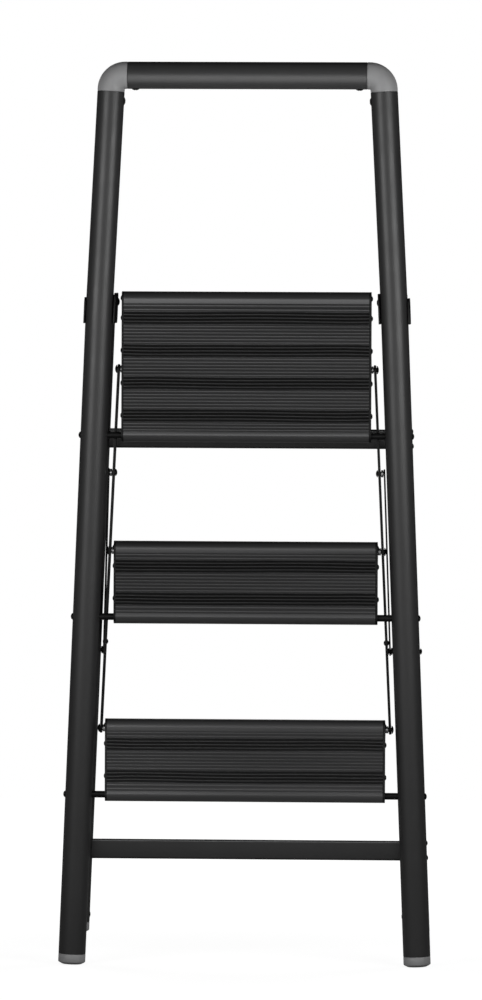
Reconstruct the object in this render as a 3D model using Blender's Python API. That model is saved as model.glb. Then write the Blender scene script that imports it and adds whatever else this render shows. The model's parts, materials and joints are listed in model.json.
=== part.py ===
"""Folding household ladder: three treads between round tube frames, with a high grab rail.

Metres, +Z up, +X to the viewer's right and +Y to the back. The ladder is folded flat:
the rear frame hangs behind the front legs, and the treads lie in the front legs' plane.
"""

import math

import bmesh
import bpy
from mathutils import Matrix, Vector

# ---- driving dimensions -------------------------------------------------------------
TUBE_RADIUS = 0.0181
TUBE_WALL = 0.0018
GAP = 0.0003                 # between neighbouring pieces
ROUND = 24                   # sides of a tube
SMALL_ROUND = 12             # sides of a pin or a rivet

HALF_WIDTH_AT_FLOOR = 0.2307  # leg axis to the centre plane, at z = 0
LEG_SLOPE = 0.0394            # how fast the legs close in, up to the hinge
RAIL_SLOPE = 0.0510           # and above the hinge
HINGE_Z = 0.8838              # axis of the rear frame's hinge
FRONT_Y = -0.0200             # plane of the front legs' axes
HINGE_Y = 0.0200              # plane of the rear legs' axes
RAIL_Z = 1.1850               # axis of the grab rail
ELBOW_RADIUS = 0.0190
ELBOW_COLLAR = 0.0030         # straight part at each end of the bend
SPIGOT = 0.0250               # part that plugs into a tube
SPIGOT_RADIUS = TUBE_RADIUS - TUBE_WALL - GAP
FOOT_HEIGHT = 0.0136
SOLE_RADIUS = TUBE_RADIUS - 0.0052
SOLE_CHAMFER = 0.0032
REAR_FOOT_Z = 0.0400          # sole of the rear feet, which hang clear of the floor
REAR_INSET = 0.0009           # rear legs sit this much closer in than the front legs
REAR_TOP = 0.0100             # rear tube above the hinge axis

TREAD_Z = {"lower": 0.2274, "middle": 0.4646, "platform": 0.7066}   # pivot rod heights
TREAD_DEPTH = {"lower": 0.1105, "middle": 0.1105, "platform": 0.2005}
TREAD_HALF = {"lower": 0.1866, "middle": 0.1757, "platform": 0.1661}
NOSING_RADIUS = 0.0090        # the tread is two of these thick
DECK_THICKNESS = 0.0024
END_PLATE = 0.0025
STRIP_WIDTH = 0.0173
STRIP_PITCH = 0.0433
STRIP_DEPTH = 0.0024
STRIP_RIDGE_PITCH = 0.0044
NOSING_BORE = 0.0065          # hollow of the nosing that has no rod
RIB_PITCH = 0.0044
RIB_DEPTH = 0.0008
PORT_Y = 0.0015               # screw ports in the webs, behind the rods' plane
SMOOTH_LAND = 0.0066          # plain band between a nosing's axis and the first rib
ROD_RADIUS = 0.0045

LINK_RISE = 0.0879            # from a tread's rod to its link pin, along the leg
LINK_Y = -0.0080              # link pins, a little behind the rods
LINK_WIDTH = 0.0140
LINK_THICKNESS = 0.0032
LINK_X_AT_FLOOR = 0.2071      # link bar's centre line
LINK_SLOPE = 0.0456
LINK_PIN_RADIUS = 0.0030
SPACER_RADIUS = 0.0048

SPREADER_TOP_Z = 0.6565
SPREADER_FOOT_Z = 0.4184
SPREADER_TOP_X = 0.1839
SPREADER_FOOT_X = 0.1915
SPREADER_WIDTH = 0.0120
SPREADER_THICKNESS = 0.0020
STOP_STUD_Z = 0.4310

CROSSBAR_HEIGHT = 0.0260
CROSSBAR_DEPTH = 0.0120
CROSSBAR_WALL = 0.0015
CROSSBAR_Z = {"lower": 0.1517, "upper": 0.7017}

CHEEK_THICKNESS = 0.0020
BRACKET_BOTTOM = 0.8554
BRACKET_TOP = 0.8958

SIDES = {"left": -1, "right": 1}
X_AXIS = Vector((1, 0, 0))
Y_AXIS = Vector((0, 1, 0))


# ---- where things are ---------------------------------------------------------------
def leg_x(z):
    """Distance of a front leg's axis from the centre plane."""
    if z <= HINGE_Z:
        return HALF_WIDTH_AT_FLOOR - LEG_SLOPE * z
    return HALF_WIDTH_AT_FLOOR - LEG_SLOPE * HINGE_Z - RAIL_SLOPE * (z - HINGE_Z)


def rear_x(z):
    return HALF_WIDTH_AT_FLOOR - REAR_INSET - LEG_SLOPE * z


def link_x(z):
    return LINK_X_AT_FLOOR - LINK_SLOPE * z


def leg_direction(side, slope=LEG_SLOPE):
    """Unit vector up a leg on that side."""
    return Vector((-side * slope, 0, 1)).normalized()


PIVOTS = {
    "front_frame": Vector((0, 0, 0)),
    "rear_frame": Vector((0, HINGE_Y, HINGE_Z)),
    "platform": Vector((0, FRONT_Y, TREAD_Z["platform"])),
    "middle_step": Vector((0, FRONT_Y, TREAD_Z["middle"])),
    "lower_step": Vector((0, FRONT_Y, TREAD_Z["lower"])),
    "link_bars": Vector((0, LINK_Y, TREAD_Z["platform"] + LINK_RISE)),
    "spreader_links": Vector((0, HINGE_Y, SPREADER_FOOT_Z)),
}
TREAD_BODY = {"lower": "lower_step", "middle": "middle_step", "platform": "platform"}


# ---- scene helpers ------------------------------------------------------------------
def clear_scene():
    for obj in list(bpy.data.objects):
        bpy.data.objects.remove(obj)


def material(name, colour, roughness, metallic):
    made = bpy.data.materials.new(name)
    made.use_nodes = True
    shader = made.node_tree.nodes["Principled BSDF"]
    shader.inputs["Base Color"].default_value = (*colour, 1)
    shader.inputs["Roughness"].default_value = roughness
    shader.inputs["Metallic"].default_value = metallic
    made.diffuse_color = (*colour, 1)
    return made


def make_pivots():
    """One empty for each moving body, on its joint's axis."""
    made = {}
    for body, place in PIVOTS.items():
        empty = bpy.data.objects.new(body + "_pivot", None)
        empty.location = place
        empty.empty_display_size = 0.03
        bpy.context.scene.collection.objects.link(empty)
        made[body] = empty
    return made


def mesh_object(name, shape):
    """An object from a bmesh in world coordinates, with its faces turned outwards."""
    bmesh.ops.recalc_face_normals(shape, faces=shape.faces)
    mesh = bpy.data.meshes.new(name)
    shape.to_mesh(mesh)
    shape.free()
    obj = bpy.data.objects.new(name, mesh)
    bpy.context.scene.collection.objects.link(obj)
    return obj


def place(obj, body, finish, smooth=True):
    """Puts the object's origin on its body's pivot, and gives it its material."""
    obj.data.transform(Matrix.Translation(-PIVOTS[body]))
    obj.parent = EMPTIES[body]
    obj.data.materials.append(finish)
    if smooth:
        obj.data.shade_smooth()
        obj.data.set_sharp_from_angle(angle=math.radians(35))
    return obj


def cut(obj, cutters):
    """Takes the cutters away from obj. They are helpers in world coordinates."""
    for number, cutter in enumerate(cutters):
        cutter.hide_render = True
        cutter.display_type = "WIRE"
        modifier = obj.modifiers.new(f"cut_{number}", "BOOLEAN")
        modifier.operation = "DIFFERENCE"
        modifier.solver = "EXACT"
        modifier.object = cutter


# ---- shapes -------------------------------------------------------------------------
def swept_body(name, stations, sides, hollow=False):
    """A round body through stations of (centre, direction, radius), all in one XZ plane.

    A hollow one ends where it began, so its last ring joins its first.
    """
    shape = bmesh.new()
    rings = []
    for centre, direction, radius in stations:
        across = direction.cross(Y_AXIS)
        ring = []
        for step in range(sides):
            turn = math.tau * step / sides
            offset = math.cos(turn) * across + math.sin(turn) * Y_AXIS
            ring.append(shape.verts.new(centre + radius * offset))
        rings.append(ring)
    pairs = list(zip(rings, rings[1:]))
    if hollow:
        pairs.append((rings[-1], rings[0]))
    else:
        shape.faces.new(rings[0])
        shape.faces.new(rings[-1])
    for first, second in pairs:
        for step in range(sides):
            after = (step + 1) % sides
            shape.faces.new((first[step], first[after], second[after], second[step]))
    return mesh_object(name, shape)


def tube(name, path, outer, inner, sides=ROUND):
    """A tube along a path of (centre, direction), open at both ends."""
    skin = [(centre, direction, outer) for centre, direction in path]
    bore = [(centre, direction, inner) for centre, direction in reversed(path)]
    return swept_body(name, skin + bore, sides, hollow=True)


def turned_along_x(name, profile, y, z, sides=SMALL_ROUND):
    """A turned body on an axis along X. The profile is a list of (x, radius)."""
    stations = [(Vector((x, y, z)), X_AXIS, radius) for x, radius in profile]
    return swept_body(name, stations, sides)


def ring_along_x(name, x_from, x_to, y, z, outer, inner, sides=SMALL_ROUND):
    path = [(Vector((x_from, y, z)), X_AXIS), (Vector((x_to, y, z)), X_AXIS)]
    return tube(name, path, outer, inner, sides)


def drill(name, x_from, x_to, y, z, radius, sides=SMALL_ROUND):
    """A helper cylinder along X, which cuts a round hole."""
    return turned_along_x(name, [(x_from, radius), (x_to, radius)], y, z, sides)


def plate(name, outline, near_x, far_x):
    """An outline of (y, z) points between two faces, each a function of z that gives x."""
    shape = bmesh.new()
    near = [shape.verts.new((near_x(z), y, z)) for y, z in outline]
    far = [shape.verts.new((far_x(z), y, z)) for y, z in outline]
    shape.faces.new(near)
    shape.faces.new(far)
    for index in range(len(outline)):
        after = (index + 1) % len(outline)
        shape.faces.new((near[index], near[after], far[after], far[index]))
    return mesh_object(name, shape)


def arc(centre, radius, start, end, count):
    """Points on an arc in (y, z), from one angle in degrees to another."""
    points = []
    for step in range(count + 1):
        angle = math.radians(start + (end - start) * step / count)
        points.append((centre[0] + radius * math.cos(angle), centre[1] + radius * math.sin(angle)))
    return points


def strap_outline(bottom, top, radius, count=8):
    """A flat bar's outline with round ends, between two (y, z) pin centres."""
    lean = math.degrees(math.atan2(top[1] - bottom[1], top[0] - bottom[0]))
    ends = arc(top, radius, lean - 90, lean + 90, count)
    return ends + arc(bottom, radius, lean + 90, lean + 270, count)


def domed(x, radius, height, way):
    """Profile of a rivet's domed head, from its base at x outwards along way."""
    return [
        (x, radius),
        (x + way * 0.45 * height, radius * 0.94),
        (x + way * 0.80 * height, radius * 0.72),
        (x + way * height, radius * 0.36),
    ]


# ---- front frame --------------------------------------------------------------------
def rail_corner(side):
    """Where a leg's axis would meet the grab rail's axis."""
    return Vector((side * leg_x(RAIL_Z), FRONT_Y, RAIL_Z))


def elbow_reach():
    """From that corner to either end of the elbow's bend."""
    turn = math.pi / 2 - math.atan(RAIL_SLOPE)
    return ELBOW_RADIUS * math.tan(turn / 2)


def front_leg(name, side):
    up = leg_direction(side)
    rail_up = leg_direction(side, RAIL_SLOPE)
    start = front_sole(side) + up * (FOOT_HEIGHT + GAP)
    bend = Vector((side * leg_x(HINGE_Z), FRONT_Y, HINGE_Z))
    end = rail_corner(side) - rail_up * (elbow_reach() + ELBOW_COLLAR + GAP)
    path = [(start, up), (bend, (up + rail_up).normalized()), (end, rail_up)]
    leg = tube(name, path, TUBE_RADIUS, TUBE_RADIUS - TUBE_WALL)
    holes = []
    for tread, z in TREAD_Z.items():
        reach = sorted((side * (leg_x(z) - 0.03), side * (leg_x(z) + 0.03)))
        holes.append(drill(f"{name}_{tread}_hole", *reach, FRONT_Y, z, ROD_RADIUS + GAP))
    cut(leg, holes)
    place(leg, "front_frame", BLACK_PAINT)


def corner_elbow(name, side):
    """Tight plastic bend with a plug into the leg and one into the rail."""
    inwards = Vector((-side, 0, 0))
    down = -leg_direction(side, RAIL_SLOPE)
    corner = rail_corner(side)
    reach = elbow_reach()
    rail_end = corner + inwards * reach
    leg_end = corner + down * reach
    centre = rail_end + Vector((0, 0, -ELBOW_RADIUS))
    turn = math.pi / 2 - math.atan(RAIL_SLOPE)
    stations = [
        (rail_end + inwards * (ELBOW_COLLAR + SPIGOT), -inwards, SPIGOT_RADIUS),
        (rail_end + inwards * ELBOW_COLLAR, -inwards, SPIGOT_RADIUS),
        (rail_end + inwards * ELBOW_COLLAR, -inwards, TUBE_RADIUS),
    ]
    bends = 8
    for step in range(bends + 1):
        angle = turn * step / bends
        out = Vector((side * math.sin(angle), 0, math.cos(angle)))
        along = Vector((side * math.cos(angle), 0, -math.sin(angle)))
        stations.append((centre + out * ELBOW_RADIUS, along, TUBE_RADIUS))
    stations += [
        (leg_end + down * ELBOW_COLLAR, down, TUBE_RADIUS),
        (leg_end + down * ELBOW_COLLAR, down, SPIGOT_RADIUS),
        (leg_end + down * (ELBOW_COLLAR + SPIGOT), down, SPIGOT_RADIUS),
    ]
    place(swept_body(name, stations, ROUND), "front_frame", GREY_PLASTIC)


def grab_rail():
    half = leg_x(RAIL_Z) - elbow_reach() - ELBOW_COLLAR - GAP
    bore = TUBE_RADIUS - TUBE_WALL
    rail = ring_along_x("grab_rail", -half, half, FRONT_Y, RAIL_Z, TUBE_RADIUS, bore, ROUND)
    place(rail, "front_frame", BLACK_PAINT)


def front_sole(side):
    """Middle of a front sole. It is square to the leg, so that its outer edge meets the floor."""
    rise = SOLE_RADIUS * LEG_SLOPE
    return Vector((side * leg_x(rise), FRONT_Y, rise))


def rear_sole(side):
    return Vector((side * rear_x(REAR_FOOT_Z), HINGE_Y, REAR_FOOT_Z))


def foot_cap(name, side, body, sole):
    """Foot with a chamfered sole and a plug into the tube above it."""
    up = leg_direction(side)
    profile = [
        (0, SOLE_RADIUS),
        (SOLE_CHAMFER, TUBE_RADIUS),
        (FOOT_HEIGHT, TUBE_RADIUS),
        (FOOT_HEIGHT, SPIGOT_RADIUS),
        (FOOT_HEIGHT + SPIGOT, SPIGOT_RADIUS),
    ]
    stations = [(sole + up * height, up, radius) for height, radius in profile]
    place(swept_body(name, stations, ROUND), body, GREY_PLASTIC)


def pivot_rod(name, z):
    """Steel rod through both front legs and the tread between them, with a head at each end."""
    end = leg_x(z) + TUBE_RADIUS + GAP
    head = domed(end, 0.0040, 0.0024, 1)
    half = [(0, ROD_RADIUS)] + [(end, ROD_RADIUS)] + head
    mirrored = [(-x, radius) for x, radius in reversed(half[1:])]
    heads_on = mirrored + half[1:]
    place(turned_along_x(name, heads_on, FRONT_Y, z), "front_frame", BLACK_STEEL)


def hinge_bracket(name, side):
    """Two cheeks beside the front leg that carry the rear leg, joined by a web between the legs."""
    outer_face = TUBE_RADIUS + 0.0002
    inner_face = TUBE_RADIUS + REAR_INSET + GAP
    web_front = FRONT_Y + TUBE_RADIUS + 0.0005
    web_back = web_front + 0.0020
    front, back = FRONT_Y - 0.0080, HINGE_Y + 0.0135
    web_top = HINGE_Z - 0.0060

    def face(offset):
        return lambda z: side * (leg_x(HINGE_Z) - LEG_SLOPE * (z - HINGE_Z) + offset)

    def cheek(part, near, far, top):
        corner = 0.0080
        outline = [(front, BRACKET_BOTTOM), (back - corner, BRACKET_BOTTOM)]
        outline += arc((back - corner, BRACKET_BOTTOM + corner), corner, -90, 0, 4)[1:]
        outline += arc((back - corner, top - corner), corner, 0, 90, 4)
        outline += [(front + 0.0040, top), (front, top - 0.0050)]
        return plate(part, outline, face(near), face(far))

    outer = cheek(name, outer_face, outer_face + CHEEK_THICKNESS, BRACKET_TOP - 0.0058)
    inner = cheek(name + "_inner", -inner_face - CHEEK_THICKNESS, -inner_face, BRACKET_TOP)
    web_outline = [
        (web_front, BRACKET_BOTTOM + 0.0010),
        (web_back, BRACKET_BOTTOM + 0.0010),
        (web_back, web_top),
        (web_front, web_top),
    ]
    overlap = CHEEK_THICKNESS / 2
    web = plate(name + "_web", web_outline, face(-inner_face - overlap), face(outer_face + overlap))
    for number, part in enumerate((inner, web)):
        part.hide_render = True
        part.display_type = "WIRE"
        modifier = outer.modifiers.new(f"join_{number}", "BOOLEAN")
        modifier.operation = "UNION"
        modifier.solver = "EXACT"
        modifier.object = part
    reach = sorted((face(-0.03)(HINGE_Z), face(0.03)(HINGE_Z)))
    cut(outer, [drill(name + "_hole", *reach, HINGE_Y, HINGE_Z, 0.0043)])
    place(outer, "front_frame", BLACK_STEEL)


def hinge_pin(name, side):
    """Pin on which a rear leg turns: flush outside, domed head inside."""
    axis = leg_x(HINGE_Z)
    outer = axis + TUBE_RADIUS + 0.0002 + CHEEK_THICKNESS
    inner = axis - TUBE_RADIUS - REAR_INSET - CHEEK_THICKNESS - 3 * GAP
    profile = [(outer, 0.0040), (inner, 0.0040)] + domed(inner, 0.0050, 0.0024, -1)
    profile = [(side * x, radius) for x, radius in profile]
    place(turned_along_x(name, profile, HINGE_Y, HINGE_Z), "front_frame", BLACK_STEEL)


# ---- rear frame ---------------------------------------------------------------------
def rear_leg(name, side):
    up = leg_direction(side)
    start = rear_sole(side) + up * (FOOT_HEIGHT + GAP)
    end_z = HINGE_Z + REAR_TOP
    end = Vector((side * rear_x(end_z), HINGE_Y, end_z))
    leg = tube(name, [(start, up), (end, up)], TUBE_RADIUS, TUBE_RADIUS - TUBE_WALL)
    holes = []
    for label, z, radius in (("hinge", HINGE_Z, 0.0043), ("spreader", SPREADER_FOOT_Z, 0.0033)):
        reach = sorted((side * (rear_x(z) - 0.03), side * (rear_x(z) + 0.03)))
        holes.append(drill(f"{name}_{label}_hole", *reach, HINGE_Y, z, radius))
    cut(leg, holes)
    place(leg, "rear_frame", BLACK_PAINT)


def crossbar(name, z):
    """Rectangular tube between the rear legs, its ends cut to the legs' round."""
    half = rear_x(z) - 0.006
    bar = bmesh.new()
    corners = []
    for depth, height in (
        (CROSSBAR_DEPTH / 2, CROSSBAR_HEIGHT / 2),
        (CROSSBAR_DEPTH / 2 - CROSSBAR_WALL, CROSSBAR_HEIGHT / 2 - CROSSBAR_WALL),
    ):
        outline = rounded_box(depth, height, 0.0020 if depth == CROSSBAR_DEPTH / 2 else 0.0008)
        for x in (-half, half):
            corners.append([bar.verts.new((x, HINGE_Y + y, z + up)) for y, up in outline])
    outer_left, outer_right, inner_left, inner_right = corners
    count = len(outer_left)
    for index in range(count):
        after = (index + 1) % count
        for first, second in (
            (outer_left, outer_right),
            (outer_right, inner_right),
            (inner_right, inner_left),
            (inner_left, outer_left),
        ):
            bar.faces.new((first[index], first[after], second[after], second[index]))
    obj = mesh_object(name, bar)
    cutters = []
    for label, side in SIDES.items():
        up = leg_direction(side)
        low = Vector((side * rear_x(z - 0.05), HINGE_Y, z - 0.05))
        high = Vector((side * rear_x(z + 0.05), HINGE_Y, z + 0.05))
        stations = [(low, up, TUBE_RADIUS + GAP), (high, up, TUBE_RADIUS + GAP)]
        cutters.append(swept_body(f"{name}_{label}_cope", stations, ROUND))
    cut(obj, cutters)
    place(obj, "rear_frame", BLACK_PAINT)


def rounded_box(half_depth, half_height, radius):
    """Outline of a rectangle with round corners, about the origin."""
    points = []
    for turn, (y, z) in enumerate(((1, 1), (-1, 1), (-1, -1), (1, -1))):
        centre = (y * (half_depth - radius), z * (half_height - radius))
        points += arc(centre, radius, 90 * turn, 90 * turn + 90, 3)
    return points


# ---- treads -------------------------------------------------------------------------
def strip_centres(tread):
    """Heights of a tread's grip strips above its rod, spread evenly about its middle."""
    count = 4 if tread == "platform" else 2
    middle = TREAD_DEPTH[tread] / 2 - NOSING_RADIUS
    return [middle + STRIP_PITCH * (index - (count - 1) / 2) for index in range(count)]


def deck_face(tread):
    """The walking face from bottom to top: grooves between ribs, and a channel for each strip."""
    span = TREAD_DEPTH[tread] - 2 * NOSING_RADIUS
    face = -NOSING_RADIUS
    edges = [SMOOTH_LAND]
    for centre in strip_centres(tread):
        edges += [centre - STRIP_WIDTH / 2, centre + STRIP_WIDTH / 2]
    edges.append(span - SMOOTH_LAND)
    points = []
    for index in range(0, len(edges), 2):
        low, high = edges[index], edges[index + 1]
        ribs = max(1, round((high - low) / RIB_PITCH))
        pitch = (high - low) / ribs
        for groove in range(ribs):
            middle = low + pitch * (groove + 0.5)
            points += [
                (face, middle - 0.0010),
                (face + RIB_DEPTH, middle - 0.0005),
                (face + RIB_DEPTH, middle + 0.0005),
                (face, middle + 0.0010),
            ]
        if index + 2 < len(edges):
            points += [(face, high), (face + STRIP_DEPTH, high)]
            points += [(face + STRIP_DEPTH, edges[index + 2]), (face, edges[index + 2])]
    return points


def tread_outline(tread):
    """Section of a tread: ribbed deck, two round nosings, and under each strip a web with a screw port."""
    span = TREAD_DEPTH[tread] - 2 * NOSING_RADIUS
    under = -NOSING_RADIUS + DECK_THICKNESS
    boss = -NOSING_RADIUS + STRIP_DEPTH + DECK_THICKNESS
    meet = math.degrees(math.acos(-under / NOSING_RADIUS))
    outline = deck_face(tread)
    outline += arc((0, span), NOSING_RADIUS, 180, -180 + meet, 14)
    half_boss, half_web, half_foot = STRIP_WIDTH / 2 + 0.0015, 0.0009, 0.0045
    foot_top = NOSING_RADIUS - 0.0018
    web = [
        (under, half_boss),
        (boss, half_boss - 0.0020),
        (boss, half_web),
        (PORT_Y - 0.0028, half_web),
        (PORT_Y - 0.0013, 0.0030),
        (PORT_Y + 0.0013, 0.0030),
        (PORT_Y + 0.0028, half_web),
        (foot_top, half_web),
        (foot_top, half_foot),
        (NOSING_RADIUS, half_foot),
    ]
    for centre in reversed(strip_centres(tread)):
        outline += [(y, centre + half) for y, half in web]
        outline += [(y, centre - half) for y, half in reversed(web)]
    outline += arc((0, 0), NOSING_RADIUS, 180 - meet, -180, 14)
    return [(FRONT_Y + y, TREAD_Z[tread] + z) for y, z in outline]


def tread_deck(name, tread):
    """Aluminium extrusion, bored for its rod and hollow in its other nosing."""
    half = TREAD_HALF[tread] - END_PLATE - GAP
    deck = plate(name, tread_outline(tread), lambda z: -half, lambda z: half)
    span = TREAD_DEPTH[tread] - 2 * NOSING_RADIUS
    through = (-half - 0.01, half + 0.01, FRONT_Y)
    bores = [
        drill(name + "_rod_bore", *through, TREAD_Z[tread], ROD_RADIUS + GAP),
        drill(name + "_nosing_bore", *through, TREAD_Z[tread] + span, NOSING_BORE),
    ]
    cut(deck, bores)
    place(deck, TREAD_BODY[tread], BLACK_ANODISED)


def grip_strip(name, tread, centre):
    """Rubber strip with three ridges, lying in its channel."""
    half = TREAD_HALF[tread] - END_PLATE - GAP
    base = -NOSING_RADIUS + STRIP_DEPTH - GAP
    valley = -NOSING_RADIUS + 0.0013
    crest = -NOSING_RADIUS - 0.0003
    width = STRIP_WIDTH / 2 - GAP
    outline = [(base, width), (base, -width), (valley, -width)]
    for ridge in (-1, 0, 1):
        middle = ridge * STRIP_RIDGE_PITCH
        outline += [
            (valley, middle - 0.0012),
            (crest, middle - 0.0006),
            (crest, middle + 0.0006),
            (valley, middle + 0.0012),
        ]
    outline.append((valley, width))
    outline = [(FRONT_Y + y, TREAD_Z[tread] + centre + z) for y, z in outline]
    strip = plate(name, outline, lambda z: -half, lambda z: half)
    place(strip, TREAD_BODY[tread], RUBBER, smooth=False)


def end_plate(name, tread, side):
    """Closes a tread's end, and reaches back to carry the link pin."""
    base = TREAD_Z[tread]
    span = TREAD_DEPTH[tread] - 2 * NOSING_RADIUS
    ear_radius = 0.0085
    ear_start = LINK_RISE - 0.0260
    back = FRONT_Y + NOSING_RADIUS
    outline = arc((FRONT_Y, base), NOSING_RADIUS, 180, 360, 10)
    outline.append((back, base + ear_start))
    outline += arc((LINK_Y, base + LINK_RISE), ear_radius, -30, 60, 6)
    if span > LINK_RISE + 0.0300:
        outline.append((back, base + LINK_RISE + 0.0180))
        outline += arc((FRONT_Y, base + span), NOSING_RADIUS, 0, 180, 10)
    else:
        outline += arc((FRONT_Y, base + span), NOSING_RADIUS, 60, 180, 8)
    near = TREAD_HALF[tread] - END_PLATE
    far = TREAD_HALF[tread]
    obj = plate(name, outline, lambda z: side * near, lambda z: side * far)
    reach = sorted((side * (near - 0.01), side * (far + 0.01)))
    holes = [
        drill(name + "_rod_hole", *reach, FRONT_Y, base, ROD_RADIUS + GAP),
        drill(name + "_pin_hole", *reach, LINK_Y, base + LINK_RISE, LINK_PIN_RADIUS + GAP),
    ]
    cut(obj, holes)
    place(obj, TREAD_BODY[tread], BLACK_STEEL, smooth=False)


def link_pin(name, tread, side):
    """Rivet that joins a tread's end plate to the link bar, head outside."""
    z = TREAD_Z[tread] + LINK_RISE
    inner = TREAD_HALF[tread] - END_PLATE - GAP
    outer = link_x(z) + LINK_THICKNESS / 2 + 2 * GAP
    profile = [(inner - 0.0012, 0.0036), (inner, 0.0036), (inner, LINK_PIN_RADIUS)]
    profile += [(outer, LINK_PIN_RADIUS)] + domed(outer, 0.0050, 0.0028, 1)
    profile = [(side * x, radius) for x, radius in profile]
    place(turned_along_x(name, profile, LINK_Y, z), TREAD_BODY[tread], BLACK_STEEL)


def link_spacer(name, tread, side):
    z = TREAD_Z[tread] + LINK_RISE
    inner = TREAD_HALF[tread] + GAP
    outer = link_x(z) - LINK_THICKNESS / 2 - 0.0006
    ends = sorted((side * inner, side * outer))
    ring = ring_along_x(name, *ends, LINK_Y, z, SPACER_RADIUS, LINK_PIN_RADIUS + GAP)
    place(ring, TREAD_BODY[tread], ZINC)


def tread(kind):
    label = kind if kind == "platform" else kind + "_step"
    tread_deck(label + "_deck", kind)
    for number, centre in enumerate(strip_centres(kind), 1):
        grip_strip(f"{label}_grip_strip_{number}", kind, centre)
    for hand, side in SIDES.items():
        end_plate(f"{label}_end_plate_{hand}", kind, side)
        link_pin(f"{label}_link_pin_{hand}", kind, side)
        link_spacer(f"{label}_link_spacer_{hand}", kind, side)


# ---- linkage ------------------------------------------------------------------------
def link_bar(name, side):
    """Long flat bar that keeps the treads in step, with a riveted stop stud."""
    bottom = (LINK_Y, TREAD_Z["lower"] + LINK_RISE)
    top = (LINK_Y, TREAD_Z["platform"] + LINK_RISE)
    half = LINK_THICKNESS / 2
    outline = strap_outline(bottom, top, LINK_WIDTH / 2)
    bar = plate(name, outline, lambda z: side * (link_x(z) - half), lambda z: side * (link_x(z) + half))
    x = link_x(STOP_STUD_Z)
    profile = domed(x - half, 0.0035, 0.0022, -1)[::-1] + domed(x + half, 0.0035, 0.0022, 1)
    profile = [(side * place_x, radius) for place_x, radius in profile]
    stud = turned_along_x(name + "_stud", profile, LINK_Y, STOP_STUD_Z)
    stud.hide_render = True
    stud.display_type = "WIRE"
    modifier = bar.modifiers.new("stud", "BOOLEAN")
    modifier.operation = "UNION"
    modifier.solver = "EXACT"
    modifier.object = stud
    holes = []
    pin_heights = [z + LINK_RISE for z in TREAD_Z.values()] + [SPREADER_TOP_Z]
    for number, z in enumerate(pin_heights):
        reach = sorted((side * (link_x(z) - 0.01), side * (link_x(z) + 0.01)))
        holes.append(drill(f"{name}_hole_{number}", *reach, LINK_Y, z, LINK_PIN_RADIUS + GAP))
    cut(bar, holes)
    place(bar, "link_bars", BLACK_STEEL)


def spreader_x(z):
    share = (z - SPREADER_FOOT_Z) / (SPREADER_TOP_Z - SPREADER_FOOT_Z)
    return SPREADER_FOOT_X + share * (SPREADER_TOP_X - SPREADER_FOOT_X)


def spreader_link(name, side):
    """Thin strut from the link bar to the rear leg, which drives the treads as the ladder opens."""
    half = SPREADER_THICKNESS / 2
    outline = strap_outline((HINGE_Y, SPREADER_FOOT_Z), (LINK_Y, SPREADER_TOP_Z), SPREADER_WIDTH / 2)
    strut = plate(
        name,
        outline,
        lambda z: side * (spreader_x(z) - half),
        lambda z: side * (spreader_x(z) + half),
    )
    holes = []
    for label, y, z in (("top", LINK_Y, SPREADER_TOP_Z), ("foot", HINGE_Y, SPREADER_FOOT_Z)):
        reach = sorted((side * (spreader_x(z) - 0.01), side * (spreader_x(z) + 0.01)))
        holes.append(drill(f"{name}_{label}_hole", *reach, y, z, LINK_PIN_RADIUS + GAP))
    cut(strut, holes)
    place(strut, "spreader_links", BLACK_STEEL)


def spreader_top_pin(name, side):
    """Rivet on the link bar. It stops short of the strut, whose upper eye is the open pivot."""
    z = SPREADER_TOP_Z
    inner = link_x(z) - LINK_THICKNESS / 2 - 2 * GAP
    outer = spreader_x(z) - SPREADER_THICKNESS / 2 - GAP
    profile = domed(inner, 0.0048, 0.0026, -1)[::-1]
    profile += [(inner, LINK_PIN_RADIUS), (outer, LINK_PIN_RADIUS)]
    profile = [(side * x, radius) for x, radius in profile]
    place(turned_along_x(name, profile, LINK_Y, z), "link_bars", BLACK_STEEL)


def spreader_top_spacer(name, side):
    z = SPREADER_TOP_Z
    inner = link_x(z) + LINK_THICKNESS / 2 + 0.0006
    outer = spreader_x(z) - SPREADER_THICKNESS / 2 - 0.0005
    ends = sorted((side * inner, side * outer))
    ring = ring_along_x(name, *ends, LINK_Y, z, SPACER_RADIUS, LINK_PIN_RADIUS + GAP)
    place(ring, "link_bars", ZINC)


def spreader_foot_pin(name, side):
    """Shouldered bolt through the rear leg, with the strut between its shoulder and its inner head."""
    z = SPREADER_FOOT_Z
    strut_in = spreader_x(z) - SPREADER_THICKNESS / 2 - 1.5 * GAP
    strut_out = spreader_x(z) + SPREADER_THICKNESS / 2 + 1.5 * GAP
    leg_in = rear_x(z) - TUBE_RADIUS - 2 * GAP
    leg_out = rear_x(z) + TUBE_RADIUS + 2 * GAP
    profile = domed(strut_in, 0.0045, 0.0022, -1)[::-1]
    profile += [(strut_in, LINK_PIN_RADIUS), (strut_out, LINK_PIN_RADIUS)]
    profile += [(strut_out, 0.0048), (leg_in, 0.0048), (leg_in, LINK_PIN_RADIUS)]
    profile += [(leg_out, LINK_PIN_RADIUS)] + domed(leg_out, 0.0042, 0.0024, 1)
    profile = [(side * x, radius) for x, radius in profile]
    place(turned_along_x(name, profile, HINGE_Y, z), "rear_frame", BLACK_STEEL)


# ---- assembly -----------------------------------------------------------------------
def both_sides(maker, name, *more):
    for hand, side in SIDES.items():
        maker(f"{name}_{hand}", side, *more)


def front_frame():
    both_sides(front_leg, "front_leg")
    both_sides(corner_elbow, "corner_elbow")
    grab_rail()
    for hand, side in SIDES.items():
        foot_cap(f"front_foot_{hand}", side, "front_frame", front_sole(side))
    both_sides(hinge_bracket, "hinge_bracket")
    both_sides(hinge_pin, "hinge_pin")
    for kind, z in TREAD_Z.items():
        pivot_rod(f"{kind}_pivot_rod", z)


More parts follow.
